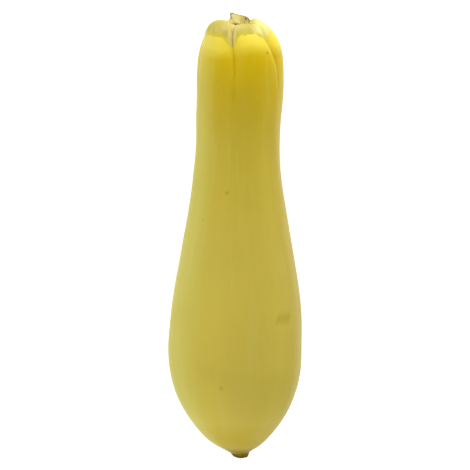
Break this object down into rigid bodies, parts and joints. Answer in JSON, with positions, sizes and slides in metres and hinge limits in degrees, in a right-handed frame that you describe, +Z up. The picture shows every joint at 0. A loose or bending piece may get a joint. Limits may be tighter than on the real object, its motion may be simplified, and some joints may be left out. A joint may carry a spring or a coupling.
{
  "type": "yellow straightneck squash",
  "caption": "Whole yellow straightneck summer squash lying on its side, with a straight neck, a fuller blossom end, and a short cut stem on a flared pointed foot.",
  "frame": {"origin": "on the surface that the squash lies on, under the middle of its bounding box", "axes": "+Z up, +Y along the squash from the blossom end to the cut stem, +X to the right when seen from above with the stem end at the top"},
  "size_m": [0.0538, 0.1796, 0.0534],
  "materials": {
    "skin": "smooth waxy yellow squash skin, golden and brighter round the shoulder, with a soft sheen",
    "stem": "matt pale greenish-cream stem tissue, with a dry brown rim round the cut"
  },
  "bodies": {
    "root": {"fruit": "skin", "stem": "stem"}
  },
  "joints": []
}
